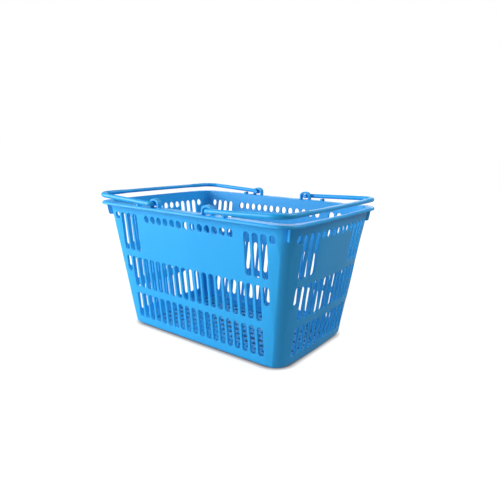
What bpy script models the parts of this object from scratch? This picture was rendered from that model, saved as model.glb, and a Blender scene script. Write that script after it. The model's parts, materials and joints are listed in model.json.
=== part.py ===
"""Shopping basket: a tapered, slotted tray with a flanged rim and two folding handles.

Metres, +Z up. The origin is the centre of the underside and the long side runs along X.
The tray is one moulding. Each handle is one moulding whose two pins turn in arched lugs
on the rim, so that it folds outwards onto the rim or lifts up to meet the other handle.
"""
import math

import bmesh
import bpy
from mathutils import Vector

# Tray wall: outer size at z = 0 in the middle of each side, and its growth per metre of height
BASE_HALF_LENGTH = 0.1834
BASE_HALF_WIDTH = 0.1129
LENGTH_DRAFT = 0.1367
WIDTH_DRAFT = 0.1240
WALL_BOW = 0.48
WALL_CORNER = 0.027
WALL = 0.0038
FLOOR = 0.003
BASE_EDGE_RADIUS = 0.008
FLOOR_EDGE_RADIUS = 0.006
EDGE_ANGLES = (0, 30, 60, 90)

# Rim: a flat flange with a lip turned down along its outer edge
RIM_TOP = 0.246
RIM_HALF_LENGTH = 0.220
RIM_HALF_WIDTH = 0.160
RIM_CORNER = 0.034
RIM_BOW = 0.12
FLANGE = 0.0025
LIP_HEIGHT = 0.005
LIP = 0.0022
RIM_EDGE = 0.001

# Outline resolution, and how quickly the bow of the end walls fades out towards x = 0
CORNER_STEPS = 5
SHORT_SIDE_STEPS = 6
BOW_POWER = 4

# Slots: width and column pitch on the long and the short walls
LONG_WALL_SLOT = 0.0108
SHORT_WALL_SLOT = 0.0113
LONG_WALL_PITCH = 0.016
SHORT_WALL_PITCH = 0.0163
SLOT_SIDES = 8
TOP_LOW, TOP_MID, TOP_HIGH = 0.1552, 0.2136, 0.2271
MIDDLE_LOW, MIDDLE_MID, MIDDLE_HIGH = 0.0821, 0.1119, 0.1436
BOTTOM_LOW, BOTTOM_HIGH = 0.0185, 0.0705
# Each entry: column numbers from the middle outwards, lower end, upper end
LONG_WALL_SLOTS = (
    (range(0, 7), TOP_MID, TOP_HIGH),
    (range(8, 11), TOP_LOW, TOP_HIGH),
    ((11,), TOP_MID, TOP_HIGH),
    (range(0, 10), MIDDLE_LOW, MIDDLE_HIGH),
    ((10,), MIDDLE_MID, MIDDLE_HIGH),
    (range(0, 10), BOTTOM_LOW, BOTTOM_HIGH),
)
SHORT_WALL_SLOTS = (
    (range(0, 4), TOP_MID, TOP_HIGH),
    (range(4, 7), TOP_LOW, TOP_HIGH),
    ((7,), TOP_MID, TOP_HIGH),
    (range(0, 6), MIDDLE_LOW, MIDDLE_HIGH),
    ((6,), MIDDLE_MID, MIDDLE_HIGH),
    (range(0, 6), BOTTOM_LOW, BOTTOM_HIGH),
)
CUTTER_REACH = 0.24

# Floor openings: rows of rectangles on the long walls' column pitch
FLOOR_COLUMNS = 9
FLOOR_HOLE_WIDTH = 0.0105
FLOOR_HOLE_LENGTH = 0.042
FLOOR_ROWS = (-0.072, -0.024, 0.024, 0.072)

# Hinge lugs: arches on the long sides of the rim. A pin turns a little off the middle of its arch
HINGE_X = 0.062
LUG_X = 0.060
PIVOT_Z = RIM_TOP + 0.007
LUG_OUTER_FACE = 0.1548
LUG_THICKNESS = 0.009
# Half width, height above the rim where the curve starts, and rise of the curve above that
LUG_OUTSIDE = (0.0110, 0.0080, 0.0080)
LUG_OPENING = (0.0078, 0.0062, 0.0060)
LUG_STEPS = 10

# Small blocks on the rim that the folded handle arms rest on
REST_X = 0.097
REST_SIZE = (0.005, 0.0095, 0.0038)
REST_OUTER = 0.1595
# How far a fitting's foot is sunk into the rim, so that it joins the tray
ROOT = 0.001

# Stacking fins below the flange at the four corners
FIN_BOTTOM = 0.2195
FIN_REACH = 0.0086
FIN_THICKNESS = 0.0036
FIN_ROOT = 0.0013

# Handles
ROD_RADIUS = 0.0042
ROD_BEVEL_RESOLUTION = 3
ARM_LENGTH = 0.1475
ARM_Y = 0.1593
PIN_END = 0.1440
PIN_BEND = 0.0055
PIN_BEND_STEPS = 4
HANDLE_CORNER = 0.028
HANDLE_CORNER_STEPS = 6
GRIP_BOW = 0.003
GRIP_STEPS = 12
GRIP_WIDEN = 0.26
GRIP_FLATTEN = 0.18
GRIP_HALF = 0.085
GRIP_FADE = 0.025
REST_TILT = math.radians(2.3)

TRAY_BLUE = (0.030, 0.300, 0.780, 1.0)
TRAY_ROUGHNESS = 0.38
HANDLE_BLUE = (0.035, 0.320, 0.800, 1.0)
HANDLE_ROUGHNESS = 0.32


def clear_scene():
    for item in list(bpy.data.objects):
        bpy.data.objects.remove(item, do_unlink=True)


def new_collection(name):
    collection = bpy.data.collections.new(name)
    bpy.context.scene.collection.children.link(collection)
    return collection


def plastic(name, colour, roughness):
    material = bpy.data.materials.new(name)
    material.use_nodes = True
    shader = material.node_tree.nodes["Principled BSDF"]
    shader.inputs["Base Color"].default_value = colour
    shader.inputs["Roughness"].default_value = roughness
    shader.inputs["Metallic"].default_value = 0.0
    return material


def object_from(bm, name, collection):
    bmesh.ops.recalc_face_normals(bm, faces=bm.faces)
    mesh = bpy.data.meshes.new(name)
    bm.to_mesh(mesh)
    bm.free()
    item = bpy.data.objects.new(name, mesh)
    collection.objects.link(item)
    return item


def hide_as_cutter(item):
    item.hide_render = True
    item.display_type = "WIRE"


def add_boolean(item, cutter, operation):
    modifier = item.modifiers.new(cutter.name, "BOOLEAN")
    modifier.operation = operation
    modifier.solver = "EXACT"
    modifier.object = cutter


# ---------------------------------------------------------------- tray outline

def bowed(x, y, half_length, bow):
    """Draws the end walls in towards their corners, so that they bow outwards."""
    return x - math.copysign(bow * y * y * (abs(x) / half_length) ** BOW_POWER, x)


def outline(half_length, half_width, corner, bow, z):
    """A rounded rectangle with bowed short sides, anticlockwise from the +X side."""
    points = []
    centre_x = half_length - corner
    centre_y = half_width - corner
    for quadrant, (side_x, side_y) in enumerate(((1, 1), (-1, 1), (-1, -1), (1, -1))):
        if quadrant in (0, 2):
            for step in range(1, SHORT_SIDE_STEPS):
                along = 2 * step / SHORT_SIDE_STEPS - 1
                points.append((side_x * half_length, side_y * along * centre_y))
        for step in range(CORNER_STEPS + 1):
            angle = math.radians(90 * (quadrant + step / CORNER_STEPS))
            x = side_x * centre_x + corner * math.cos(angle)
            y = side_y * centre_y + corner * math.sin(angle)
            points.append((x, y))
    return [Vector((bowed(x, y, half_length, bow), y, z)) for x, y in points]


def wall_outline(z, inset=0.0):
    half_length = BASE_HALF_LENGTH + LENGTH_DRAFT * z - inset
    half_width = BASE_HALF_WIDTH + WIDTH_DRAFT * z - inset
    return outline(half_length, half_width, WALL_CORNER - inset, WALL_BOW, z)


def rim_outline(z, inset=0.0):
    half_length = RIM_HALF_LENGTH - inset
    half_width = RIM_HALF_WIDTH - inset
    return outline(half_length, half_width, RIM_CORNER - inset, RIM_BOW, z)


def tray_sections():
    """Closed outlines up the outside, over the rim and down the inside to the floor."""
    sections = []
    for angle in EDGE_ANGLES:
        turn = math.radians(angle)
        z = BASE_EDGE_RADIUS * (1 - math.cos(turn))
        sections.append(wall_outline(z, BASE_EDGE_RADIUS * (1 - math.sin(turn))))
    sections.append(wall_outline(RIM_TOP - FLANGE))
    sections.append(rim_outline(RIM_TOP - FLANGE, LIP))
    sections.append(rim_outline(RIM_TOP - LIP_HEIGHT, LIP))
    sections.append(rim_outline(RIM_TOP - LIP_HEIGHT))
    sections.append(rim_outline(RIM_TOP - RIM_EDGE))
    sections.append(rim_outline(RIM_TOP, RIM_EDGE))
    sections.append(wall_outline(RIM_TOP, WALL - RIM_EDGE))
    sections.append(wall_outline(RIM_TOP - RIM_EDGE, WALL))
    for angle in reversed(EDGE_ANGLES):
        turn = math.radians(angle)
        z = FLOOR + FLOOR_EDGE_RADIUS * (1 - math.cos(turn))
        sections.append(wall_outline(z, WALL + FLOOR_EDGE_RADIUS * (1 - math.sin(turn))))
    return sections


def loft(bm, sections):
    rings = [[bm.verts.new(point) for point in section] for section in sections]
    for lower, upper in zip(rings, rings[1:]):
        for index, vertex in enumerate(lower):
            after = (index + 1) % len(lower)
            bm.faces.new((vertex, lower[after], upper[after], upper[index]))
    bm.faces.new(rings[0])
    bm.faces.new(rings[-1])


# ---------------------------------------------------------------- rim fittings

def lug_arch(half_width, spring, rise, turns):
    """A vertical leg, an elliptical arch and the other leg, as (x, z) around the lug's x."""
    foot = RIM_TOP - ROOT
    curve = [(half_width * math.cos(turn), RIM_TOP + spring + rise * math.sin(turn))
             for turn in turns]
    return [(curve[0][0], foot)] + curve + [(curve[-1][0], foot)]


def lug_profile():
    """An arch standing on the rim, open at the bottom."""
    turns = [math.pi * step / LUG_STEPS for step in range(LUG_STEPS + 1)]
    return lug_arch(*LUG_OUTSIDE, turns) + lug_arch(*LUG_OPENING, turns[::-1])


def add_lug(bm, side_x, side_y):
    start = side_y * (LUG_OUTER_FACE - LUG_THICKNESS)
    face = bm.faces.new([bm.verts.new((side_x * LUG_X + x, start, z)) for x, z in lug_profile()])
    grown = bmesh.ops.extrude_face_region(bm, geom=[face])
    moved = [part for part in grown["geom"] if isinstance(part, bmesh.types.BMVert)]
    bmesh.ops.translate(bm, verts=moved, vec=(0, side_y * LUG_THICKNESS, 0))


def add_rest_block(bm, side_x, side_y):
    size = Vector((REST_SIZE[0], REST_SIZE[1], REST_SIZE[2] + ROOT))
    centre = Vector((side_x * REST_X, side_y * (REST_OUTER - REST_SIZE[1] / 2),
                     RIM_TOP - ROOT + size.z / 2))
    made = bmesh.ops.create_cube(bm, size=1.0)
    for vertex in made["verts"]:
        vertex.co = centre + Vector(a * b for a, b in zip(vertex.co, size))


def wall_corner_point(z):
    """The tray's outer surface at the middle of a rounded corner, in the +X +Y quarter."""
    half_length = BASE_HALF_LENGTH + LENGTH_DRAFT * z
    half_width = BASE_HALF_WIDTH + WIDTH_DRAFT * z
    reach = WALL_CORNER * (1 - math.sqrt(0.5))
    x = half_length - reach
    y = half_width - reach
    return Vector((bowed(x, y, half_length, WALL_BOW), y, z))


def add_fin(bm, side_x, side_y):
    out = Vector((side_x, side_y, 0)).normalized()
    across = Vector((-out.y, out.x, 0))
    made = bmesh.ops.create_cube(bm, size=2.0)
    for vertex in made["verts"]:
        height, reach, thick = vertex.co.z, vertex.co.x, vertex.co.y
        z = RIM_TOP - FLANGE + ROOT if height > 0 else FIN_BOTTOM
        root = wall_corner_point(z)
        distance = FIN_REACH if reach > 0 else -FIN_ROOT
        base = Vector((side_x * root.x, side_y * root.y, z))
        vertex.co = base + out * distance + across * (thick * FIN_THICKNESS / 2)


def rim_fittings(collection):
    bm = bmesh.new()
    for side_x in (-1, 1):
        for side_y in (-1, 1):
            add_lug(bm, side_x, side_y)
            add_rest_block(bm, side_x, side_y)
            add_fin(bm, side_x, side_y)
    fittings = object_from(bm, "rim_fittings", collection)
    hide_as_cutter(fittings)
    return fittings


# ---------------------------------------------------------------- slots

def add_slot(bm, width, low, high, place):
    """A long bar with a round-ended upright section, laid along the axis place() gives."""
    radius = width / 2
    corner_radius = radius / math.cos(math.pi / SLOT_SIDES)
    made = bmesh.ops.create_cone(bm, cap_ends=True, segments=SLOT_SIDES, radius1=corner_radius,
                                 radius2=corner_radius, depth=2 * CUTTER_REACH)
    turn = math.pi / SLOT_SIDES
    stretch = (high - low) / 2 - radius
    middle = (high + low) / 2
    for vertex in made["verts"]:
        x, y, reach = vertex.co
        across = x * math.cos(turn) - y * math.sin(turn)
        up = x * math.sin(turn) + y * math.cos(turn)
        vertex.co = place(across, reach, middle + up + math.copysign(stretch, up))


def slot_cutter(name, rows, width, pitch, along_y, collection):
    bm = bmesh.new()
    for columns, low, high in rows:
        offsets = {side * column * pitch for column in columns for side in (-1, 1)}
        for offset in sorted(offsets):
            if along_y:
                add_slot(bm, width, low, high,
                         lambda across, reach, z: (offset + across, reach, z))
            else:
                add_slot(bm, width, low, high,
                         lambda across, reach, z: (reach, offset + across, z))
    cutter = object_from(bm, name, collection)
    hide_as_cutter(cutter)
    return cutter


def floor_cutter(collection):
    bm = bmesh.new()
    for column in range(-FLOOR_COLUMNS, FLOOR_COLUMNS + 1):
        for row in FLOOR_ROWS:
            made = bmesh.ops.create_cube(bm, size=1.0)
            for vertex in made["verts"]:
                vertex.co.x = vertex.co.x * FLOOR_HOLE_WIDTH + column * LONG_WALL_PITCH
                vertex.co.y = vertex.co.y * FLOOR_HOLE_LENGTH + row
                vertex.co.z *= 4 * FLOOR
    cutter = object_from(bm, "floor_openings", collection)
    hide_as_cutter(cutter)
    return cutter


def build_tray(parts, cutters):
    bm = bmesh.new()
    loft(bm, tray_sections())
    tray = object_from(bm, "basket_body", parts)
    add_boolean(tray, rim_fittings(cutters), "UNION")
    long_slots = slot_cutter("long_wall_slots", LONG_WALL_SLOTS, LONG_WALL_SLOT,
                             LONG_WALL_PITCH, True, cutters)
    short_slots = slot_cutter("short_wall_slots", SHORT_WALL_SLOTS, SHORT_WALL_SLOT,
                              SHORT_WALL_PITCH, False, cutters)
    add_boolean(tray, long_slots, "DIFFERENCE")
    add_boolean(tray, short_slots, "DIFFERENCE")
    add_boolean(tray, floor_cutter(cutters), "DIFFERENCE")
    tray.data.materials.append(plastic("basket_plastic", TRAY_BLUE, TRAY_ROUGHNESS))
    return tray


# ---------------------------------------------------------------- handles

def grip_x(y):
    """The centre line of the grip, bowed outwards a little in the middle."""
    return ARM_LENGTH + GRIP_BOW * max(0.0, 1 - (y / (ARM_Y - HANDLE_CORNER)) ** 2)


def handle_path():
    """Centre line from one pin end round to the other, with the pivot axis along Y at x = 0."""
    points = [(0.0, -PIN_END)]
    for step in range(PIN_BEND_STEPS + 1):
        turn = math.radians(90 * step / PIN_BEND_STEPS)
        points.append((PIN_BEND * (1 - math.cos(turn)),
                       -ARM_Y + PIN_BEND * (1 - math.sin(turn))))
    for step in range(HANDLE_CORNER_STEPS + 1):
        turn = math.radians(90 * step / HANDLE_CORNER_STEPS)
        points.append((ARM_LENGTH - HANDLE_CORNER * (1 - math.sin(turn)),
                       -ARM_Y + HANDLE_CORNER * (1 - math.cos(turn))))
    straight = ARM_Y - HANDLE_CORNER
    for step in range(1, GRIP_STEPS // 2 + 1):
        y = straight * (2 * step / GRIP_STEPS - 1)
        points.append((grip_x(y), y))
    mirrored = [(x, -y) for x, y in reversed(points[:-1])]
    return points + mirrored


def rod_mesh(collection):
    curve = bpy.data.curves.new("handle_rod", "CURVE")
    curve.dimensions = "3D"
    curve.bevel_depth = ROD_RADIUS
    curve.bevel_resolution = ROD_BEVEL_RESOLUTION
    curve.use_fill_caps = True
    spline = curve.splines.new("POLY")
    path = handle_path()
    spline.points.add(len(path) - 1)
    for point, (x, y) in zip(spline.points, path):
        point.co = (x, y, 0, 1)
    rod = bpy.data.objects.new("handle_rod", curve)
    collection.objects.link(rod)
    bpy.context.view_layer.update()
    evaluated = rod.evaluated_get(bpy.context.evaluated_depsgraph_get())
    mesh = bpy.data.meshes.new_from_object(evaluated)
    bpy.data.objects.remove(rod, do_unlink=True)
    return mesh


def smooth_fade(y):
    """1 along the grip, falling smoothly to 0 before the bends."""
    distance = min(max((GRIP_HALF + GRIP_FADE - abs(y)) / GRIP_FADE, 0.0), 1.0)
    return distance * distance * (3 - 2 * distance)


def shape_grip(bm):
    """Makes the round rod wider and thinner along the grip, so that it sits in the hand."""
    for vertex in bm.verts:
        share = smooth_fade(vertex.co.y)
        centre = grip_x(vertex.co.y)
        if share > 0 and vertex.co.x > ARM_LENGTH / 2:
            vertex.co.x = centre + (vertex.co.x - centre) * (1 + GRIP_WIDEN * share)
            vertex.co.z *= 1 - GRIP_FLATTEN * share


def handle_mesh(collection):
    bm = bmesh.new()
    bm.from_mesh(rod_mesh(collection))
    bmesh.ops.remove_doubles(bm, verts=bm.verts, dist=0.00001)
    shape_grip(bm)
    bmesh.ops.recalc_face_normals(bm, faces=bm.faces)
    mesh = bpy.data.meshes.new("handle")
    bm.to_mesh(mesh)
    bm.free()
    return mesh


def build_handles(parts, cutters):
    mesh = handle_mesh(cutters)
    mesh.materials.append(plastic("handle_plastic", HANDLE_BLUE, HANDLE_ROUGHNESS))
    mesh.shade_smooth()
    mesh.set_sharp_from_angle(angle=math.radians(40))
    for name, side, turn in (("handle_right", 1, 0.0), ("handle_left", -1, math.pi)):
        handle = bpy.data.objects.new(name, mesh)
        handle.location = (side * HINGE_X, 0, PIVOT_Z)
        handle.rotation_euler = (0, -REST_TILT, turn)
        parts.objects.link(handle)


def main():
    clear_scene()
    parts = new_collection("shopping_basket")
    cutters = new_collection("cutters")
    build_tray(parts, cutters)
    build_handles(parts, cutters)


main()
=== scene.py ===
"""Looks of the shopping basket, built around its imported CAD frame.

The tray is one moulded shell: four slotted walls, rounded corner posts, a fine
floor grid and a flanged rim, with every slot edge rounded. Lugs, arm rests and corner
fins stand on it, and the two handles are swept rods that ride on their own bodies.
"""
import json
import math

import bmesh
import bpy
from mathutils import Matrix, Vector
from mathutils.geometry import delaunay_2d_cdt


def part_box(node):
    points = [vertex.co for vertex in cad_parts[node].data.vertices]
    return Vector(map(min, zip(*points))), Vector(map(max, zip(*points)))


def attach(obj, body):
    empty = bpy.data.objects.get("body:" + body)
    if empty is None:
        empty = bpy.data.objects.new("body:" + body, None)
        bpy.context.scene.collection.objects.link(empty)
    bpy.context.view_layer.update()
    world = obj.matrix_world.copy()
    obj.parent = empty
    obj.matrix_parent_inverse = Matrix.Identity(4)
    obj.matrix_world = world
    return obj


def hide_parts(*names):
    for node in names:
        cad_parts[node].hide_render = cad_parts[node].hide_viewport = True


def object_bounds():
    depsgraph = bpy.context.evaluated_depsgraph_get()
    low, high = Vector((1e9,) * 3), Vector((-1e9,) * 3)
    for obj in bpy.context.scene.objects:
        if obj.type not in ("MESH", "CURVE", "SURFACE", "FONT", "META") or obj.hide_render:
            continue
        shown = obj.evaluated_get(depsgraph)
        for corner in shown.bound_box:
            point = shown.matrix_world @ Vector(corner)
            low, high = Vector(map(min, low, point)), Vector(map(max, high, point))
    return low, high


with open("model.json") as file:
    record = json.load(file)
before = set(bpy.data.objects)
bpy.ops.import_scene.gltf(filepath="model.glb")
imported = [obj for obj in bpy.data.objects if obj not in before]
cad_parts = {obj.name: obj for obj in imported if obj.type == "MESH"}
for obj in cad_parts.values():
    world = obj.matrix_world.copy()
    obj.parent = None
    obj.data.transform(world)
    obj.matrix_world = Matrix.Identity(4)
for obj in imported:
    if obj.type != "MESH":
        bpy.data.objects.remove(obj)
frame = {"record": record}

cad_low, cad_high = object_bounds()
body_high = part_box("basket_body")[1]
hinges = {joint["child"]: joint for joint in frame["record"]["behaviour"]["joints"]}

# Tray wall: outer size at z = 0 in the middle of each side, and its growth per metre of height.
# The bow is how strongly the end walls curve; its power keeps the curve away from the long walls
BASE_HALF_LENGTH = 0.1834
BASE_HALF_WIDTH = 0.1129
LENGTH_DRAFT = 0.1367
WIDTH_DRAFT = 0.1240
WALL_BOW = 0.48
WALL_CORNER = 0.027
WALL = 0.0038
FLOOR = 0.003
BOW_POWER = 4
BOW_ITERATIONS = 12

# Places that follow the frame. The pivots are this far above the rim's top
PIVOT_HEIGHT = 0.007
PIVOT_X = abs(hinges["right_handle"]["pos_m"][0])
PIVOT_Z = hinges["right_handle"]["pos_m"][2]
RIM_TOP = PIVOT_Z - PIVOT_HEIGHT
RIM_HALF_LENGTH = body_high.x
RIM_HALF_WIDTH = body_high.y

# Rim
RIM_CORNER = 0.034
RIM_BOW = 0.12
FLANGE = 0.0025
LIP_HEIGHT = 0.005
LIP = 0.0022

# Roundings
BASE_EDGE_RADIUS = 0.008
FLOOR_EDGE_RADIUS = 0.006
FLANGE_ROOT_RADIUS = 0.0016
LIP_ROOT_RADIUS = 0.0006
LIP_EDGE_RADIUS = 0.0009
RIM_EDGE_RADIUS = 0.0034
MOUTH_EDGE_RADIUS = 0.0012
SLOT_EDGE_RADIUS = 0.0005
GRID_EDGE_RADIUS = 0.0004
FITTING_EDGE_RADIUS = 0.0007
FITTING_EDGE_SEGMENTS = 3
FITTING_EDGE_ANGLE = math.radians(35)
ROUND_STEPS = 5

# The flat panels reach this far round each corner, in degrees of its arc
LONG_PANEL_TURN = math.radians(20)
SHORT_PANEL_TURN = math.radians(32)
CORNER_STEPS = 9
LONG_SIDE_STEPS = 28
SHORT_SIDE_STEPS = 24
HEIGHT_STEPS = 18

# Slots
LONG_SLOT_HALF_WIDTH = 0.0054
SHORT_SLOT_HALF_WIDTH = 0.00565
SLOT_END_STEPS = 10
# More columns than any wall has on each side of its middle
COLUMN_LIMIT = 12
LONG_WALL_PITCH = 0.016
SHORT_WALL_PITCH = 0.0163
TOP_LOW, TOP_MID, TOP_HIGH = 0.1552, 0.2136, 0.2271
MIDDLE_LOW, MIDDLE_MID, MIDDLE_HIGH = 0.0821, 0.1119, 0.1436
BOTTOM_LOW, BOTTOM_HIGH = 0.0185, 0.0705
# Each entry: column numbers from the middle outwards, lower end, upper end
LONG_WALL_SLOTS = (
    (range(0, 7), TOP_MID, TOP_HIGH),
    (range(8, 11), TOP_LOW, TOP_HIGH),
    ((11,), TOP_MID, TOP_HIGH),
    (range(0, 10), MIDDLE_LOW, MIDDLE_HIGH),
    ((10,), MIDDLE_MID, MIDDLE_HIGH),
    (range(0, 10), BOTTOM_LOW, BOTTOM_HIGH),
)
SHORT_WALL_SLOTS = (
    (range(0, 4), TOP_MID, TOP_HIGH),
    (range(4, 7), TOP_LOW, TOP_HIGH),
    ((7,), TOP_MID, TOP_HIGH),
    (range(0, 6), MIDDLE_LOW, MIDDLE_HIGH),
    ((6,), MIDDLE_MID, MIDDLE_HIGH),
    (range(0, 6), BOTTOM_LOW, BOTTOM_HIGH),
)

# Floor grid: pitch and half size of the openings along x and y
GRID_PITCH = Vector((0.0170, 0.0170))
GRID_COLUMNS = 9
GRID_ROWS = 5
GRID_HALF_HOLE = Vector((0.0062, 0.0045))
GRID_HOLE_CUT = 0.0012

# Fittings on the rim
LUG_X = 0.060
LUG_OUTER_FACE = 0.1548
LUG_THICKNESS = 0.009
# Half width, height above the rim where the curve starts, and rise of the curve above that
LUG_OUTSIDE = (0.0110, 0.0080, 0.0080)
LUG_OPENING = (0.0078, 0.0062, 0.0060)
LUG_STEPS = 24
LUG_FOOT_RADIUS = 0.0015
REST_X = 0.097
REST_SIZE = Vector((0.005, 0.0095, 0.0038))
REST_OUTER = 0.1595
REST_FLARE = Vector((0.0006, 0.0003))
ROOT = 0.001
FIN_BOTTOM = 0.2195
FIN_REACH = 0.0086
FIN_THICKNESS = 0.0036
FIN_ROOT = 0.0013
FIN_TIP_RADIUS = 0.003
FIN_DRAFT = 0.12

# Handles
ROD_RADIUS = 0.0042
ARM_LENGTH = 0.1475
ARM_Y = 0.1593
PIN_END = 0.1440
PIN_BEND = 0.0055
HANDLE_CORNER = 0.028
GRIP_BOW = 0.003
GRIP_WIDEN = 0.26
GRIP_FLATTEN = 0.18
GRIP_SQUARENESS = 0.6
GRIP_HALF = 0.085
GRIP_FADE = 0.025
NECK_DEPTH = 0.0003
NECK_PLACE = 0.0105
NECK_SPREAD = 0.0016
PARTING_RIDGE = 0.0001
PIN_TIP_RADIUS = 0.0012
# The power of a round section. A higher one makes it squarer
ROUND_POWER = 2
SECTION_STEPS = 32
PIN_STEPS = 4
PIN_BEND_STEPS = 10
ARM_STEPS = 50
HANDLE_CORNER_STEPS = 20
GRIP_STEPS = 32
REST_TILT = math.radians(2.3)

# Plastics: colour, deeper colour of the flow marks, paler worn colour, roughness and sheen
TRAY_PLASTIC = ((0.034, 0.410, 0.860, 1), (0.029, 0.380, 0.815, 1), (0.150, 0.560, 0.920, 1),
                0.36, 0.18)
HANDLE_PLASTIC = ((0.012, 0.400, 0.860, 1), (0.010, 0.365, 0.800, 1), (0.150, 0.540, 0.900, 1),
                  0.36, 0.34)
PLASTIC_IOR = 1.49

# Noises: scale per metre and detail, and for some also roughness and stretch
FLOW_NOISE = (9.0, 3.0, 0.55, (1.0, 1.0, 0.45))
SCUFF_NOISE = (60.0, 6.0, 0.7, (1.0, 1.0, 6.0))
SPECKLE_NOISE = (420.0, 2.0)
GRAIN_NOISE = (1500.0, 2.0)
WAVE_NOISE = (28.0, 1.0)
PAPER_NOISE = (3.0, 2.0)
# Where the effect of a noise, or of an edge's pointiness, starts and where it is full
FLOW_RANGE = (0.3, 0.7)
SCUFF_RANGE = (0.60, 0.72)
SPECKLE_RANGE = (0.35, 0.65)
EDGE_RANGE = (0.52, 0.60)
# Shares of the worn colour, changes of roughness, and the bumps' strength and height
SCUFF_SHARE = 0.10
WORN_SHARE = 0.35
SCUFF_ROUGHNESS = 0.10
FLOW_SMOOTHER, FLOW_ROUGHER = 0.04, 0.05
WAVE_BUMP = (0.25, 0.0006)
GRAIN_BUMP = (0.12, 0.00006)

# Painted shadow on the floor: the camera sees the floor dark under the tray, a painted contact
# shadow that fades out just past its edge, and lifted towards white beyond it
FOOTPRINT_HALF_LENGTH = 0.174
FOOTPRINT_HALF_WIDTH = 0.106
FOOTPRINT_CORNER = 0.030
# Distances past the tray's underside over which the painted contact shadow fades out
CONTACT_SHADOW_FADE = (0.001, 0.014)
FLOOR_GLOW = 0.90
FLOOR_GLOW_REACH = 0.5
# Colour of the painted shadow under the tray, which the camera sees in place of the paper
FLOOR_PAINTED_SHADOW = (0.20, 0.17, 0.15, 1)
FLOOR_BEYOND_TRAY = (0.16, 0.16, 0.16, 1)
PAPER_DARK = (0.54, 0.53, 0.52, 1)
PAPER_PALE = (0.56, 0.55, 0.54, 1)
PAPER_ROUGHNESS = 0.9
FLOOR_HALF_SIZE = 30.0
FLOOR_GAP = 0.0002

# Softboxes: name, azimuth, elevation, size and power. Azimuth 0 is in front, 90 on the right
LIGHT_DISTANCE = 2.3
LIGHTS = (
    ("key_softbox", -45, 16, (1.4, 1.4), 64),
    ("front_softbox", -20, 18, (1.4, 1.4), 7),
    ("right_softbox", 130, 53, (1.4, 1.4), 38),
    ("back_softbox", 205, 15, (1.8, 0.9), 9),
    ("corner_strip", 28, 8, (0.15, 1.0), 3),
)
WORLD_TINT = (0.90, 0.95, 1.0, 1)
WORLD_STRENGTH = 0.02
WORLD_GLOSSY_STRENGTH = 0.55

# Camera: place in metres, and angles in degrees
CAMERA_PLACE = Vector((0.5493, -0.6981, 0.3567))
CAMERA_YAW, CAMERA_PITCH, CAMERA_ROLL = 36.55, -12.75, 1.11
CAMERA_SENSOR = 36
CAMERA_LENS = 33.93
CAMERA_CLIP = (0.01, 100)

# Distances at which points count as one, and the triangulation that fills the convex hull
WELD = 0.000002
SHEET_TOLERANCE = 0.0000001
HULL_FILL = 0


# ---------------------------------------------------------------- tray outline

def wall_form(z):
    """Half length, half width, corner radius and bow of the tray's outer face at a height."""
    return (BASE_HALF_LENGTH + LENGTH_DRAFT * z, BASE_HALF_WIDTH + WIDTH_DRAFT * z,
            WALL_CORNER, WALL_BOW)


RIM_FORM = (RIM_HALF_LENGTH, RIM_HALF_WIDTH, RIM_CORNER, RIM_BOW)


def bowed(x, y, half_length, bow):
    """Draws the end walls in towards their corners, so that they bow outwards."""
    return x - math.copysign(bow * y * y * (abs(x) / half_length) ** BOW_POWER, x)


def corner_point(form, inset, turn):
    """A point on the +X +Y corner arc, turned from the +X direction."""
    half_length, half_width, corner, bow = form
    x = half_length - corner + (corner - inset) * math.cos(turn)
    y = half_width - corner + (corner - inset) * math.sin(turn)
    return bowed(x, y, half_length - inset, bow), y


def long_limit(form, inset):
    return form[0] - form[2] + (form[2] - inset) * math.sin(LONG_PANEL_TURN)


def short_limit(form, inset):
    return form[1] - form[2] + (form[2] - inset) * math.sin(SHORT_PANEL_TURN)


def long_point(form, inset, place):
    """A point on the +Y side, from its x before the end walls' bow is applied."""
    half_length, half_width, corner, bow = form
    past = max(abs(place) - (half_length - corner), 0.0)
    y = half_width - corner + math.sqrt(max((corner - inset) ** 2 - past ** 2, 0.0))
    return bowed(place, y, half_length - inset, bow), y


def short_point(form, inset, place):
    """A point on the +X side, from its y."""
    half_length, half_width, corner, bow = form
    past = max(abs(place) - (half_width - corner), 0.0)
    x = half_length - corner + math.sqrt(max((corner - inset) ** 2 - past ** 2, 0.0))
    return bowed(x, place, half_length - inset, bow), place


def long_place(form, inset, x):
    """The x before the bow of a point on the +Y side, from its real x."""
    place = x
    for _ in range(BOW_ITERATIONS):
        place += x - long_point(form, inset, place)[0]
    return place


def fractions(steps):
    return [2 * step / steps - 1 for step in range(steps + 1)]


def corner_turns():
    """The turns between the two panels that meet at a corner, without the ends."""
    first = SHORT_PANEL_TURN
    last = math.pi / 2 - LONG_PANEL_TURN
    return [first + (last - first) * step / CORNER_STEPS for step in range(1, CORNER_STEPS)]


def ring(form, inset, z):
    """The whole outline, anticlockwise from the low-y end of the +X side."""
    half = [short_point(form, inset, part * short_limit(form, inset))
            for part in fractions(SHORT_SIDE_STEPS)]
    half += [corner_point(form, inset, turn) for turn in corner_turns()]
    half += [long_point(form, inset, -part * long_limit(form, inset))
             for part in fractions(LONG_SIDE_STEPS)]
    half += [(-x, y) for x, y in
             (corner_point(form, inset, turn) for turn in reversed(corner_turns()))]
    return [Vector((x, y, z)) for x, y in half] + [Vector((-x, -y, z)) for x, y in half]


def quarter_turns():
    return [math.pi / 2 * step / ROUND_STEPS for step in range(ROUND_STEPS + 1)]


# ---------------------------------------------------------------- tray surfaces

def add_strip(bm, first, second, closed):
    """Joins two rows of points with quads."""
    lower = [bm.verts.new(point) for point in first]
    upper = [bm.verts.new(point) for point in second]
    last = len(lower) if closed else len(lower) - 1
    for index in range(last):
        after = (index + 1) % len(lower)
        bm.faces.new((lower[index], lower[after], upper[after], upper[index]))


def add_loft(bm, rows, closed=True):
    for first, second in zip(rows, rows[1:]):
        add_strip(bm, first, second, closed)


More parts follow.
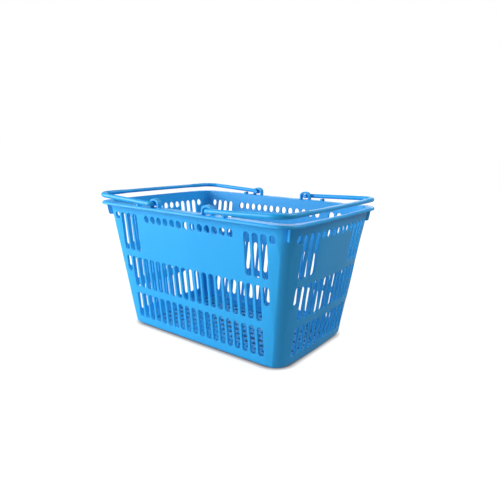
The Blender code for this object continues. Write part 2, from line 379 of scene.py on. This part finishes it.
def add_sheet(bm, edge, holes, lines, to_space):
    """Fills an outline's convex hull with triangles, leaving out the convex holes."""
    points = []
    links = []
    hole_of = {}

    def add_chain(chain, closed, hole=None):
        start = len(points)
        points.extend(chain)
        count = len(chain)
        links.extend((start + index, start + index + 1) for index in range(count - 1))
        if closed:
            links.append((start + count - 1, start))
        if hole is not None:
            hole_of.update((start + index, hole) for index in range(count))

    add_chain(edge, True)
    for number, hole in enumerate(holes):
        add_chain(hole, True, number)
    for line in lines:
        add_chain(line, False)
    flat = [Vector(point) for point in points]
    made = delaunay_2d_cdt(flat, links, [], HULL_FILL, SHEET_TOLERANCE)
    sources = [origin[0] for origin in made[3]]
    verts = [bm.verts.new(to_space(point)) for point in made[0]]
    for face in made[2]:
        owners = {hole_of.get(sources[index], -1 - place) for place, index in enumerate(face)}
        if len(owners) > 1:
            bm.faces.new([verts[index] for index in face])


def stadium(half_width, centre, low, high, grow):
    """An upright slot outline with round ends, as (across, z)."""
    radius = half_width + grow
    top = high - half_width
    bottom = low + half_width
    turns = [math.pi * step / SLOT_END_STEPS for step in range(SLOT_END_STEPS + 1)]
    upper = [(centre + radius * math.cos(turn), top + radius * math.sin(turn)) for turn in turns]
    lower = [(centre - radius * math.cos(turn), bottom - radius * math.sin(turn))
             for turn in turns]
    return upper + lower


def slot_list(rows, pitch):
    slots = []
    for columns, low, high in rows:
        for column in columns:
            for side in ((1,) if column == 0 else (1, -1)):
                slots.append((side * column * pitch, low, high))
    return slots


def heights(low, high):
    return [low + (high - low) * step / HEIGHT_STEPS for step in range(HEIGHT_STEPS + 1)]


class Panel:
    """One slotted wall. Its own coordinates are (place along the wall, z)."""

    def __init__(self, along_x, rows, pitch, half_width, steps):
        self.along_x = along_x
        self.slots = slot_list(rows, pitch)
        self.pitch = pitch
        self.half_width = half_width
        self.parts = fractions(steps)

    def limit(self, inset, z):
        return (long_limit if self.along_x else short_limit)(wall_form(z), inset)

    def place(self, inset, across, z):
        return long_place(wall_form(z), inset, across) if self.along_x else across

    def point(self, inset, place, z):
        return (long_point if self.along_x else short_point)(wall_form(z), inset, place)

    def add_face(self, bm, inset, low, high, side):
        levels = heights(low, high)
        edge = [(part * self.limit(inset, low), low) for part in self.parts]
        edge += [(self.limit(inset, z), z) for z in levels[1:-1]]
        edge += [(-part * self.limit(inset, high), high) for part in self.parts]
        edge += [(-self.limit(inset, z), z) for z in reversed(levels[1:-1])]
        holes = [[(self.place(inset, across, z), z) for across, z in
                  stadium(self.half_width, *slot, SLOT_EDGE_RADIUS)] for slot in self.slots]
        lines = [self.bar(inset, number, levels[1:-1])
                 for number in range(-COLUMN_LIMIT, COLUMN_LIMIT)]
        lines = [line for line in lines if len(line) > 1]

        def to_space(point):
            x, y = self.point(inset, point[0], point[1])
            return Vector((side * x, side * y, point[1]))

        add_sheet(bm, edge, holes, lines, to_space)

    def bar(self, inset, number, levels):
        """Points up the bar between two columns of slots, as far as the panel reaches."""
        across = (number + 0.5) * self.pitch
        points = [(self.place(inset, across, z), z) for z in levels]
        return [(place, z) for place, z in points
                if abs(place) < self.limit(inset, z) - self.half_width / 2]

    def add_slot_edges(self, bm, side):
        """The rounded edges and the inside of every slot."""
        radius = SLOT_EDGE_RADIUS
        steps = [(radius * (1 - math.sin(turn)), radius * (1 - math.cos(turn)))
                 for turn in (0, math.pi / 4, math.pi / 2)]
        steps += [(grow, WALL - inset) for grow, inset in reversed(steps)]
        for slot in self.slots:
            rows = []
            for grow, inset in steps:
                row = []
                for across, z in stadium(self.half_width, *slot, grow):
                    x, y = self.point(inset, self.place(inset, across, z), z)
                    row.append(Vector((side * x, side * y, z)))
                rows.append(row)
            add_loft(bm, rows)


def add_corner_posts(bm, inset, low, high):
    turns = [SHORT_PANEL_TURN] + corner_turns() + [math.pi / 2 - LONG_PANEL_TURN]
    for side_x in (1, -1):
        for side_y in (1, -1):
            rows = []
            for z in heights(low, high):
                points = [corner_point(wall_form(z), inset, turn) for turn in turns]
                rows.append([Vector((side_x * x, side_y * y, z)) for x, y in points])
            add_loft(bm, rows, closed=False)


def grid_hole(column, row, grow):
    """A small rectangle with cut corners in the floor."""
    half_x = GRID_HALF_HOLE.x + grow
    half_y = GRID_HALF_HOLE.y + grow
    cut_x = half_x - GRID_HOLE_CUT
    cut_y = half_y - GRID_HOLE_CUT
    quarter = ((half_x, -cut_y), (half_x, cut_y), (cut_x, half_y), (-cut_x, half_y))
    whole = quarter + tuple((-x, -y) for x, y in quarter)
    return [(column * GRID_PITCH.x + x, row * GRID_PITCH.y + y) for x, y in whole]


def add_floor(bm, top_ring, bottom_ring):
    cells = [(column, row) for column in range(-GRID_COLUMNS, GRID_COLUMNS + 1)
             for row in range(-GRID_ROWS, GRID_ROWS + 1)]
    for outline, z in ((top_ring, FLOOR), (bottom_ring, 0.0)):
        holes = [grid_hole(column, row, GRID_EDGE_RADIUS) for column, row in cells]
        add_sheet(bm, [(point.x, point.y) for point in outline], holes, [],
                  lambda point, z=z: Vector((point[0], point[1], z)))
    steps = ((GRID_EDGE_RADIUS, FLOOR), (0.0, FLOOR - GRID_EDGE_RADIUS),
             (0.0, GRID_EDGE_RADIUS), (GRID_EDGE_RADIUS, 0.0))
    for column, row in cells:
        add_loft(bm, [[Vector((x, y, z)) for x, y in grid_hole(column, row, grow)]
                      for grow, z in steps])


def rim_rings(wall_top, mouth_bottom):
    """Outlines from the top of the outer wall, round the flange and lip, into the mouth."""
    underside = RIM_TOP - FLANGE
    lip_bottom = RIM_TOP - LIP_HEIGHT
    rings = []
    for turn in quarter_turns():
        out = FLANGE_ROOT_RADIUS * (1 - math.cos(turn))
        z = wall_top + FLANGE_ROOT_RADIUS * math.sin(turn)
        rings.append(ring(wall_form(z), -out, z))
    for turn in quarter_turns():
        inset = LIP + LIP_ROOT_RADIUS * (1 - math.sin(turn))
        z = underside - LIP_ROOT_RADIUS * (1 - math.cos(turn))
        rings.append(ring(RIM_FORM, inset, z))
    for turn in quarter_turns():
        inset = LIP - LIP_EDGE_RADIUS * (1 - math.cos(turn))
        rings.append(ring(RIM_FORM, inset, lip_bottom + LIP_EDGE_RADIUS * (1 - math.sin(turn))))
    for turn in quarter_turns():
        inset = LIP_EDGE_RADIUS * (1 - math.sin(turn))
        rings.append(ring(RIM_FORM, inset, lip_bottom + LIP_EDGE_RADIUS * (1 - math.cos(turn))))
    for turn in quarter_turns():
        inset = RIM_EDGE_RADIUS * (1 - math.cos(turn))
        rings.append(ring(RIM_FORM, inset, RIM_TOP - RIM_EDGE_RADIUS * (1 - math.sin(turn))))
    for turn in quarter_turns():
        inset = WALL - MOUTH_EDGE_RADIUS * (1 - math.sin(turn))
        z = RIM_TOP - MOUTH_EDGE_RADIUS * (1 - math.cos(turn))
        rings.append(ring(wall_form(z), inset, z))
    rings[-1] = ring(wall_form(mouth_bottom), WALL, mouth_bottom)
    return rings


def build_tray(material):
    outer_low = BASE_EDGE_RADIUS
    outer_high = RIM_TOP - FLANGE - FLANGE_ROOT_RADIUS
    inner_low = FLOOR + FLOOR_EDGE_RADIUS
    inner_high = RIM_TOP - MOUTH_EDGE_RADIUS
    bm = bmesh.new()
    panels = (Panel(True, LONG_WALL_SLOTS, LONG_WALL_PITCH, LONG_SLOT_HALF_WIDTH,
                    LONG_SIDE_STEPS),
              Panel(False, SHORT_WALL_SLOTS, SHORT_WALL_PITCH, SHORT_SLOT_HALF_WIDTH,
                    SHORT_SIDE_STEPS))
    for panel in panels:
        for side in (1, -1):
            panel.add_face(bm, 0.0, outer_low, outer_high, side)
            panel.add_face(bm, WALL, inner_low, inner_high, side)
            panel.add_slot_edges(bm, side)
    add_corner_posts(bm, 0.0, outer_low, outer_high)
    add_corner_posts(bm, WALL, inner_low, inner_high)
    outer_edge = []
    for turn in quarter_turns():
        z = BASE_EDGE_RADIUS * (1 - math.sin(turn))
        inset = BASE_EDGE_RADIUS * (1 - math.cos(turn))
        outer_edge.append(ring(wall_form(z), inset, z))
    inner_edge = []
    for turn in quarter_turns():
        z = FLOOR + FLOOR_EDGE_RADIUS * (1 - math.sin(turn))
        inset = WALL + FLOOR_EDGE_RADIUS * (1 - math.cos(turn))
        inner_edge.append(ring(wall_form(z), inset, z))
    add_loft(bm, outer_edge)
    add_loft(bm, inner_edge)
    add_loft(bm, rim_rings(outer_high, inner_high))
    add_floor(bm, inner_edge[-1], outer_edge[-1])
    bmesh.ops.remove_doubles(bm, verts=bm.verts, dist=WELD)
    tray = piece_from(bm, "tray", material, "basket")
    even_normals(tray)
    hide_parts("basket_body")


# ---------------------------------------------------------------- pieces

def piece_from(bm, name, material, body):
    bmesh.ops.recalc_face_normals(bm, faces=bm.faces)
    mesh = bpy.data.meshes.new(name)
    bm.to_mesh(mesh)
    bm.free()
    mesh.shade_smooth()
    mesh.materials.append(material)
    piece = bpy.data.objects.new(name, mesh)
    bpy.context.scene.collection.objects.link(piece)
    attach(piece, body)
    return piece


def even_normals(piece):
    """Large faces set the shading, so that flats stay flat next to their rounded edges."""
    modifier = piece.modifiers.new("even_normals", "WEIGHTED_NORMAL")
    modifier.mode = "FACE_AREA"
    modifier.weight = 50
    modifier.keep_sharp = False


def round_edges(piece):
    modifier = piece.modifiers.new("round_edges", "BEVEL")
    modifier.width = FITTING_EDGE_RADIUS
    modifier.segments = FITTING_EDGE_SEGMENTS
    modifier.limit_method = "ANGLE"
    modifier.angle_limit = FITTING_EDGE_ANGLE


# ---------------------------------------------------------------- rim fittings

def lug_profile():
    """An arch on a flared foot, open at the bottom, as (x, z) around the lug's x."""
    turns = [math.pi * step / LUG_STEPS for step in range(LUG_STEPS + 1)]
    outside, spring, rise = LUG_OUTSIDE
    arch = [(outside * math.cos(turn), RIM_TOP + spring + rise * math.sin(turn))
            for turn in turns]
    inside, spring, rise = LUG_OPENING
    opening = [(inside * math.cos(turn), RIM_TOP + spring + rise * math.sin(turn))
               for turn in reversed(turns)]
    foot = [(outside + LUG_FOOT_RADIUS * (1 - math.cos(turn)),
             RIM_TOP + LUG_FOOT_RADIUS * (1 - math.sin(turn))) for turn in quarter_turns()]
    buried = RIM_TOP - ROOT
    outer_foot = foot + [(foot[-1][0], buried)]
    left_foot = [(-x, z) for x, z in outer_foot]
    return arch + left_foot + [(-inside, buried)] + opening + [(inside, buried)] + outer_foot[::-1]


def build_lug(name, side_x, side_y, material):
    bm = bmesh.new()
    start = side_y * (LUG_OUTER_FACE - LUG_THICKNESS)
    verts = [bm.verts.new((side_x * LUG_X + x, start, z)) for x, z in lug_profile()]
    grown = bmesh.ops.extrude_face_region(bm, geom=[bm.faces.new(verts)])
    moved = [part for part in grown["geom"] if isinstance(part, bmesh.types.BMVert)]
    bmesh.ops.translate(bm, verts=moved, vec=(0, side_y * LUG_THICKNESS, 0))
    lug = piece_from(bm, name, material, "basket")
    round_edges(lug)
    even_normals(lug)


def build_rest(name, side_x, side_y, material):
    bm = bmesh.new()
    size = REST_SIZE + Vector((0, 0, ROOT))
    centre = Vector((side_x * REST_X, side_y * (REST_OUTER - REST_SIZE.y / 2),
                     RIM_TOP - ROOT + size.z / 2))
    for vertex in bmesh.ops.create_cube(bm, size=1.0)["verts"]:
        vertex.co = centre + vertex.co * size
        if vertex.co.z < RIM_TOP:
            vertex.co.x += math.copysign(REST_FLARE.x, vertex.co.x - centre.x)
            vertex.co.y += (math.copysign(REST_FLARE.y, vertex.co.y - centre.y)
                            - side_y * REST_FLARE.y)
    rest = piece_from(bm, name, material, "basket")
    round_edges(rest)
    even_normals(rest)


def build_fin(name, side_x, side_y, material):
    bm = bmesh.new()
    out = Vector((side_x, side_y, 0)).normalized()
    across = Vector((-out.y, out.x, 0))
    top = RIM_TOP - FLANGE + ROOT
    corner = [(FIN_REACH - FIN_TIP_RADIUS * (1 - math.cos(turn)),
               FIN_BOTTOM + FIN_TIP_RADIUS * (1 - math.sin(turn))) for turn in quarter_turns()]
    profile = [(-FIN_ROOT, top), (FIN_REACH, top)] + corner + [(-FIN_ROOT, FIN_BOTTOM)]
    faces = []
    for side in (-1, 1):
        points = []
        for reach, z in profile:
            x, y = corner_point(wall_form(z), 0.0, math.pi / 4)
            draft = 1 - FIN_DRAFT * reach / FIN_REACH
            base = Vector((side_x * x, side_y * y, z))
            points.append(base + out * reach + across * (side * draft * FIN_THICKNESS / 2))
        faces.append([bm.verts.new(point) for point in points])
        bm.faces.new(faces[-1])
    first, second = faces
    for index, vertex in enumerate(first):
        after = (index + 1) % len(first)
        bm.faces.new((vertex, first[after], second[after], second[index]))
    fin = piece_from(bm, name, material, "basket")
    round_edges(fin)
    even_normals(fin)


def build_fittings(material):
    for end, side_x in (("left", -1), ("right", 1)):
        for wall, side_y in (("front", -1), ("back", 1)):
            place = wall + "_" + end
            build_lug("hinge_lug_" + place, side_x, side_y, material)
            build_rest("arm_rest_" + place, side_x, side_y, material)
            build_fin("corner_fin_" + place, side_x, side_y, material)


# ---------------------------------------------------------------- handles

def grip_x(y):
    """The centre line of the grip, bowed outwards a little in the middle."""
    return ARM_LENGTH + GRIP_BOW * max(0.0, 1 - (y / (ARM_Y - HANDLE_CORNER)) ** 2)


def half_path():
    """Centre line from the low-y pin end to the middle of the grip."""
    bend_y = ARM_Y - PIN_BEND
    points = [(0.0, -PIN_END - (bend_y - PIN_END) * step / PIN_STEPS)
              for step in range(PIN_STEPS)]
    for step in range(PIN_BEND_STEPS + 1):
        turn = math.pi / 2 * step / PIN_BEND_STEPS
        points.append((PIN_BEND * (1 - math.cos(turn)), -bend_y - PIN_BEND * math.sin(turn)))
    arm_end = ARM_LENGTH - HANDLE_CORNER
    for step in range(1, ARM_STEPS):
        points.append((PIN_BEND + (arm_end - PIN_BEND) * step / ARM_STEPS, -ARM_Y))
    for step in range(HANDLE_CORNER_STEPS + 1):
        turn = math.pi / 2 * step / HANDLE_CORNER_STEPS
        points.append((arm_end + HANDLE_CORNER * math.sin(turn),
                       -ARM_Y + HANDLE_CORNER * (1 - math.cos(turn))))
    straight = ARM_Y - HANDLE_CORNER
    for step in range(1, GRIP_STEPS + 1):
        y = straight * (step / GRIP_STEPS - 1)
        points.append((grip_x(y), y))
    return points


def smooth_fade(y):
    """1 along the grip, falling smoothly to 0 before the bends."""
    distance = min(max((GRIP_HALF + GRIP_FADE - abs(y)) / GRIP_FADE, 0.0), 1.0)
    return distance * distance * (3 - 2 * distance)


def section(x, y):
    """Half width, half thickness and roundness power of the rod at a place on its path."""
    share = smooth_fade(y) if x > ARM_LENGTH / 2 else 0.0
    neck = NECK_DEPTH * math.exp(-((x - NECK_PLACE) / NECK_SPREAD) ** 2)
    radius = ROD_RADIUS - neck
    return (radius * (1 + GRIP_WIDEN * share), radius * (1 - GRIP_FLATTEN * share),
            ROUND_POWER + GRIP_SQUARENESS * share)


def rod_ring(centre, tangent, width, thickness, power):
    """One cross-section of the rod, a superellipse with a faint mould parting ridge."""
    normal = Vector((tangent.y, -tangent.x, 0))
    points = []
    for step in range(SECTION_STEPS):
        turn = 2 * math.pi * step / SECTION_STEPS
        cosine, sine = math.cos(turn), math.sin(turn)
        across = math.copysign(abs(cosine) ** (2 / power), cosine) * width
        up = math.copysign(abs(sine) ** (2 / power), sine) * thickness
        if step in (0, SECTION_STEPS // 2):
            across += math.copysign(PARTING_RIDGE, across)
        points.append(centre + normal * across + Vector((0, 0, up)))
    return points


def rod_rings():
    start = half_path()
    path = start + [(x, -y) for x, y in reversed(start[:-1])]
    rings = []
    for index, (x, y) in enumerate(path):
        before = path[max(index - 1, 0)]
        after = path[min(index + 1, len(path) - 1)]
        tangent = Vector((after[0] - before[0], after[1] - before[1], 0)).normalized()
        width, thickness, power = section(x, y)
        rings.append(rod_ring(Vector((x, y, 0)), tangent, width, thickness, power))
    return rings


def pin_tip(y_side):
    """Rings that round off a pin's free end, from its rim inwards."""
    tangent = Vector((0, -1, 0))
    rings = []
    for turn in quarter_turns()[1:]:
        radius = ROD_RADIUS - PIN_TIP_RADIUS * (1 - math.cos(turn))
        y = PIN_END - PIN_TIP_RADIUS * math.sin(turn)
        rings.append(rod_ring(Vector((0, y_side * y, 0)), tangent, radius, radius, ROUND_POWER))
    return rings


def build_handle(name, body, node, side, turn, material):
    bm = bmesh.new()
    rows = pin_tip(-1)[::-1] + rod_rings() + pin_tip(1)
    add_loft(bm, rows)
    for row in (rows[0], rows[-1]):
        bm.faces.new([bm.verts.new(point) for point in row])
    bmesh.ops.remove_doubles(bm, verts=bm.verts, dist=WELD)
    place = (Matrix.Translation((side * PIVOT_X, 0, PIVOT_Z)) @ Matrix.Rotation(turn, 4, "Z")
             @ Matrix.Rotation(-REST_TILT, 4, "Y"))
    bmesh.ops.transform(bm, matrix=place, verts=bm.verts)
    handle = piece_from(bm, name, material, body)
    even_normals(handle)
    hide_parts(node)


# ---------------------------------------------------------------- materials

class Nodes:
    """Short calls for building a node tree."""

    def __init__(self, tree):
        self.tree = tree

    def add(self, kind, values=None, **settings):
        node = self.tree.nodes.new(kind)
        for name, value in settings.items():
            setattr(node, name, value)
        for name, value in (values or {}).items():
            node.inputs[name].default_value = value
        return node

    def link(self, source, target):
        self.tree.links.new(source, target)

    def noise(self, vector, scale, detail, roughness=0.5, stretch=None):
        if stretch is not None:
            mapping = self.add("ShaderNodeMapping", {"Scale": stretch})
            self.link(vector, mapping.inputs["Vector"])
            vector = mapping.outputs["Vector"]
        node = self.add("ShaderNodeTexNoise",
                        {"Scale": scale, "Detail": detail, "Roughness": roughness})
        self.link(vector, node.inputs["Vector"])
        return node.outputs["Fac"]

    def ramp(self, value, low, high, to_low=0.0, to_high=1.0):
        node = self.add("ShaderNodeMapRange", {"From Min": low, "From Max": high,
                                               "To Min": to_low, "To Max": to_high})
        self.link(value, node.inputs["Value"])
        return node.outputs["Result"]

    def maths(self, operation, first, second):
        node = self.add("ShaderNodeMath", operation=operation)
        for socket, value in zip(node.inputs, (first, second)):
            if isinstance(value, (int, float)):
                socket.default_value = value
            else:
                self.link(value, socket)
        return node.outputs[0]

    def vector(self, operation, first, second):
        node = self.add("ShaderNodeVectorMath", operation=operation)
        for socket, value in zip(node.inputs, (first, second)):
            if isinstance(value, tuple):
                socket.default_value = value
            else:
                self.link(value, socket)
        return node.outputs[0]

    def blend(self, share, first, second):
        node = self.add("ShaderNodeMix", data_type="RGBA")
        self.link(share, node.inputs["Factor"])
        for name, value in (("A", first), ("B", second)):
            socket = [item for item in node.inputs if item.name == name and item.type == "RGBA"][0]
            if isinstance(value, tuple):
                socket.default_value = value
            else:
                self.link(value, socket)
        return [item for item in node.outputs if item.type == "RGBA"][0]

    def bump(self, height, strength, distance, normal=None):
        node = self.add("ShaderNodeBump", {"Strength": strength, "Distance": distance})
        self.link(height, node.inputs["Height"])
        if normal is not None:
            self.link(normal, node.inputs["Normal"])
        return node.outputs["Normal"]


def moulded_plastic(name, colour, deep_colour, worn_colour, roughness, sheen):
    """Polypropylene: a soft sheen, faint flow marks, fine grain, scuffs and paler worn edges."""
    material = bpy.data.materials.new(name)
    material.use_nodes = True
    nodes = Nodes(material.node_tree)
    shader = material.node_tree.nodes["Principled BSDF"]
    place = nodes.add("ShaderNodeTexCoord").outputs["Object"]
    flow = nodes.noise(place, *FLOW_NOISE)
    speckle = nodes.noise(place, *SPECKLE_NOISE)
    scuffs = nodes.ramp(nodes.noise(place, *SCUFF_NOISE), *SCUFF_RANGE)
    grain = nodes.noise(place, *GRAIN_NOISE)
    waves = nodes.noise(place, *WAVE_NOISE)
    edge = nodes.add("ShaderNodeNewGeometry").outputs["Pointiness"]
    worn = nodes.maths("MULTIPLY", nodes.ramp(edge, *EDGE_RANGE),
                       nodes.ramp(speckle, *SPECKLE_RANGE))
    base = nodes.blend(nodes.ramp(flow, *FLOW_RANGE), colour, deep_colour)
    base = nodes.blend(nodes.maths("MULTIPLY", scuffs, SCUFF_SHARE), base, worn_colour)
    base = nodes.blend(nodes.maths("MULTIPLY", worn, WORN_SHARE), base, worn_colour)
    nodes.link(base, shader.inputs["Base Color"])
    rough = nodes.ramp(flow, *FLOW_RANGE, roughness - FLOW_SMOOTHER, roughness + FLOW_ROUGHER)
    rough = nodes.maths("ADD", rough, nodes.maths("MULTIPLY", scuffs, SCUFF_ROUGHNESS))
    nodes.link(rough, shader.inputs["Roughness"])
    normal = nodes.bump(waves, *WAVE_BUMP)
    normal = nodes.bump(grain, *GRAIN_BUMP, normal)
    nodes.link(normal, shader.inputs["Normal"])
    shader.inputs["IOR"].default_value = PLASTIC_IOR
    shader.inputs["Specular IOR Level"].default_value = sheen
    return material


def footprint_distance(nodes, place):
    """Distance outside the rounded outline of the tray's underside, negative within it."""
    core = (FOOTPRINT_HALF_LENGTH - FOOTPRINT_CORNER, FOOTPRINT_HALF_WIDTH - FOOTPRINT_CORNER, 0.0)
    flat = nodes.vector("MULTIPLY", nodes.vector("ABSOLUTE", place, (0, 0, 0)), (1, 1, 0))
    past = nodes.vector("SUBTRACT", flat, core)
    outer = nodes.add("ShaderNodeVectorMath", operation="LENGTH")
    nodes.link(nodes.vector("MAXIMUM", past, (0, 0, 0)), outer.inputs[0])
    return nodes.maths("SUBTRACT", outer.outputs["Value"], FOOTPRINT_CORNER)


def floor_material():
    """Pale paper. The camera sees it brighter than the basket does, so its shadows stay faint.
    Under the tray and just past its edge, a painted contact shadow darkens it.
    """
    material = bpy.data.materials.new("pale_floor")
    material.use_nodes = True
    nodes = Nodes(material.node_tree)
    paper = material.node_tree.nodes["Principled BSDF"]
    output = material.node_tree.nodes["Material Output"]
    place = nodes.add("ShaderNodeTexCoord").outputs["Object"]
    distance = footprint_distance(nodes, place)
    # Painted contact shadow: 0 under the tray, rising to 1 just past its edge. It also cuts the
    # glow out under the tray
    outside = nodes.ramp(distance, *CONTACT_SHADOW_FADE)
    tone = nodes.blend(nodes.noise(place, *PAPER_NOISE), PAPER_DARK, PAPER_PALE)
    nodes.link(tone, paper.inputs["Base Color"])
    paper.inputs["Roughness"].default_value = PAPER_ROUGHNESS
    # The camera's floor colour, dark where the painted shadow lies under the tray
    seen_tone_with_painted_shadow = nodes.blend(outside, FLOOR_PAINTED_SHADOW, FLOOR_BEYOND_TRAY)
    seen = nodes.add("ShaderNodeBsdfDiffuse")
    nodes.link(seen_tone_with_painted_shadow, seen.inputs["Color"])
    glow = nodes.add("ShaderNodeEmission", {"Color": (1.0, 1.0, 1.0, 1.0)})
    spread = nodes.ramp(distance, 0.0, FLOOR_GLOW_REACH, FLOOR_GLOW, 1.0)
    nodes.link(nodes.maths("MULTIPLY", outside, spread), glow.inputs["Strength"])
    lifted = nodes.add("ShaderNodeAddShader")
    nodes.link(seen.outputs[0], lifted.inputs[0])
    nodes.link(glow.outputs[0], lifted.inputs[1])
    choose = nodes.add("ShaderNodeMixShader")
    nodes.link(nodes.add("ShaderNodeLightPath").outputs["Is Camera Ray"], choose.inputs[0])
    nodes.link(paper.outputs[0], choose.inputs[1])
    nodes.link(lifted.outputs[0], choose.inputs[2])
    nodes.link(choose.outputs[0], output.inputs["Surface"])
    return material


# ---------------------------------------------------------------- studio

def build_floor():
    bm = bmesh.new()
    bmesh.ops.create_grid(bm, x_segments=1, y_segments=1, size=FLOOR_HALF_SIZE)
    mesh = bpy.data.meshes.new("floor")
    bm.to_mesh(mesh)
    bm.free()
    mesh.materials.append(floor_material())
    floor = bpy.data.objects.new("floor", mesh)
    floor.location.z = cad_low.z - FLOOR_GAP
    bpy.context.scene.collection.objects.link(floor)


def area_light(name, azimuth, elevation, size, power):
    """A white softbox aimed at the middle of the basket."""
    turn, rise = math.radians(azimuth), math.radians(elevation)
    direction = Vector((math.sin(turn) * math.cos(rise), -math.cos(turn) * math.cos(rise),
                        math.sin(rise)))
    data = bpy.data.lights.new(name, "AREA")
    data.shape = "RECTANGLE"
    data.size, data.size_y = size
    data.energy = power
    light = bpy.data.objects.new(name, data)
    light.location = (cad_low + cad_high) / 2 + direction * LIGHT_DISTANCE
    light.rotation_euler = direction.to_track_quat("Z", "Y").to_euler()
    bpy.context.scene.collection.objects.link(light)


def build_world():
    """The camera sees white. Reflections show a brighter room than the one that gives light."""
    world = bpy.data.worlds.new("studio")
    world.use_nodes = True
    nodes = Nodes(world.node_tree)
    background = world.node_tree.nodes["Background"]
    output = world.node_tree.nodes["World Output"]
    background.inputs["Color"].default_value = WORLD_TINT
    glossy = nodes.add("ShaderNodeLightPath").outputs["Is Glossy Ray"]
    strength = nodes.ramp(glossy, 0.0, 1.0, WORLD_STRENGTH, WORLD_GLOSSY_STRENGTH)
    nodes.link(strength, background.inputs["Strength"])
    seen = nodes.add("ShaderNodeBackground", {"Color": (1, 1, 1, 1), "Strength": 1.0})
    choose = nodes.add("ShaderNodeMixShader")
    nodes.link(nodes.add("ShaderNodeLightPath").outputs["Is Camera Ray"], choose.inputs[0])
    nodes.link(background.outputs[0], choose.inputs[1])
    nodes.link(seen.outputs[0], choose.inputs[2])
    nodes.link(choose.outputs[0], output.inputs["Surface"])
    bpy.context.scene.world = world


def build_camera():
    yaw, pitch = math.radians(CAMERA_YAW), math.radians(CAMERA_PITCH)
    roll = math.radians(CAMERA_ROLL)
    forward = Vector((-math.sin(yaw) * math.cos(pitch), math.cos(yaw) * math.cos(pitch),
                      math.sin(pitch)))
    level_right = Vector((math.cos(yaw), math.sin(yaw), 0))
    level_up = level_right.cross(forward)
    right = level_right * math.cos(roll) + level_up * math.sin(roll)
    up = level_up * math.cos(roll) - level_right * math.sin(roll)
    data = bpy.data.cameras.new("camera")
    data.sensor_width = CAMERA_SENSOR
    data.lens = CAMERA_LENS
    data.clip_start, data.clip_end = CAMERA_CLIP
    camera = bpy.data.objects.new("camera", data)
    pose = Matrix((right, up, -forward)).transposed().to_4x4()
    pose.translation = CAMERA_PLACE
    camera.matrix_world = pose
    bpy.context.scene.collection.objects.link(camera)
    bpy.context.scene.camera = camera


def main():
    tray_plastic = moulded_plastic("blue_polypropylene", *TRAY_PLASTIC)
    handle_plastic = moulded_plastic("handle_polypropylene", *HANDLE_PLASTIC)
    build_tray(tray_plastic)
    build_fittings(tray_plastic)
    build_handle("handle_right_rod", "right_handle", "handle_right", 1, 0.0, handle_plastic)
    build_handle("handle_left_rod", "left_handle", "handle_left", -1, math.pi, handle_plastic)
    build_floor()
    for light in LIGHTS:
        area_light(*light)
    build_world()
    build_camera()
    bpy.context.scene.view_settings.view_transform = "Standard"


main()
